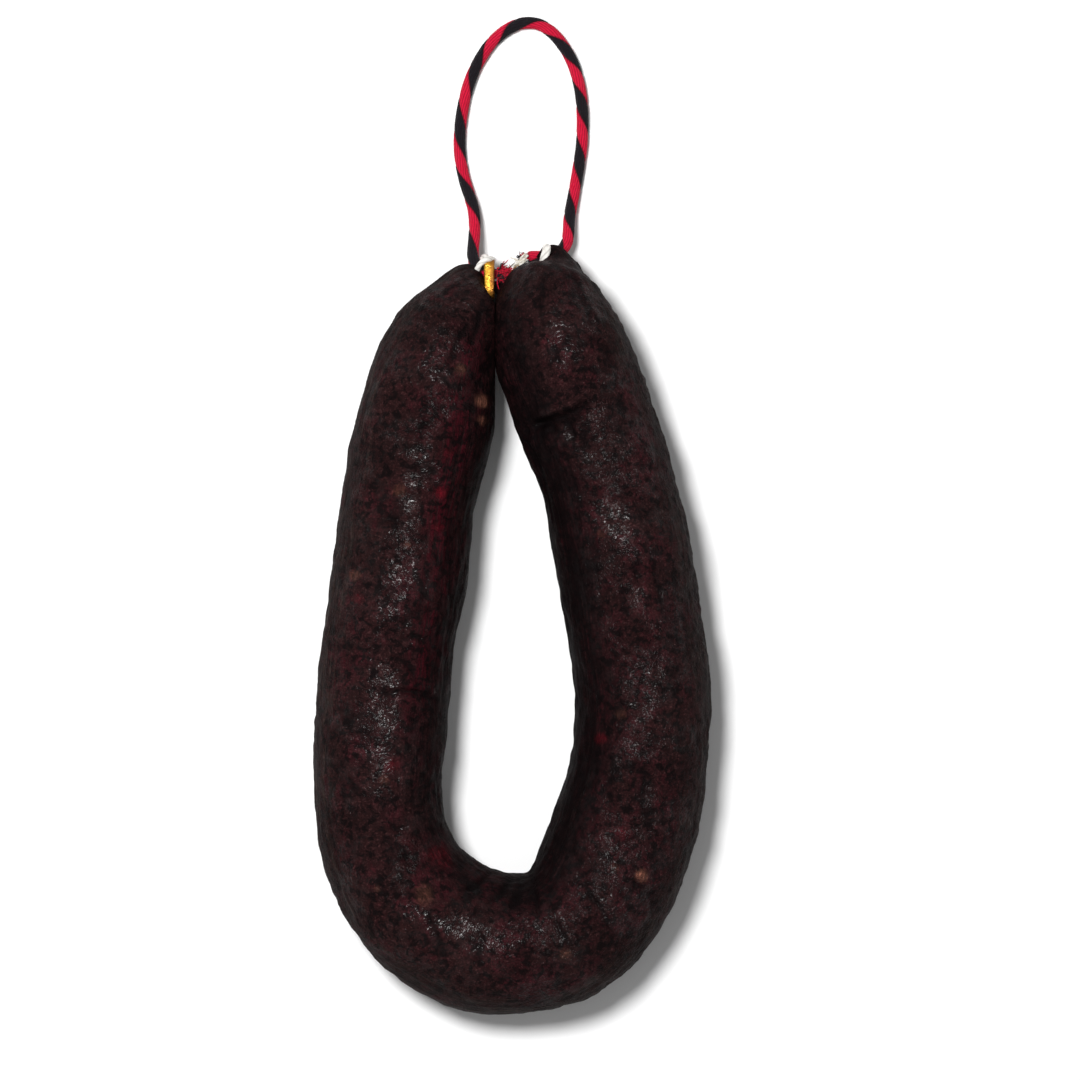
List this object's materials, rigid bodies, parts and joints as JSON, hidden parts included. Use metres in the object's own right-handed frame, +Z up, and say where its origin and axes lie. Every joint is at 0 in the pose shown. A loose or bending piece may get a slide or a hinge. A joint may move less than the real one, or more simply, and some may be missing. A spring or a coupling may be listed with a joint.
{
  "type": "cured sausage",
  "caption": "Dark cured sausage bent into a horseshoe, its ends drawn together by a clip and twine, with a twisted hanging cord. It lies on its side.",
  "frame": {"origin": "on the table under the middle of the horseshoe, measured without the hanging cord and its frays", "axes": "+Z up from the table the sausage lies on, +Y from the bend towards the tied ends, +X across the legs"},
  "size_m": [0.12, 0.2993, 0.0401],
  "materials": {
    "casing": "dried natural casing, near black with dark red and brown patches, fine wrinkles, waxy gloss",
    "clip": "gold-coloured clip metal, lightly worn",
    "twine": "off-white butcher's twine, matt",
    "cord": "two-strand twisted cord, one strand crimson and one black, soft yarn"
  },
  "bodies": {
    "root": {"sausage": "casing", "neck_clip": "clip", "left_tie": "twine", "right_tie": "twine", "hanging_cord": "cord", "left_fray": "cord", "right_fray": "cord"}
  },
  "joints": []
}
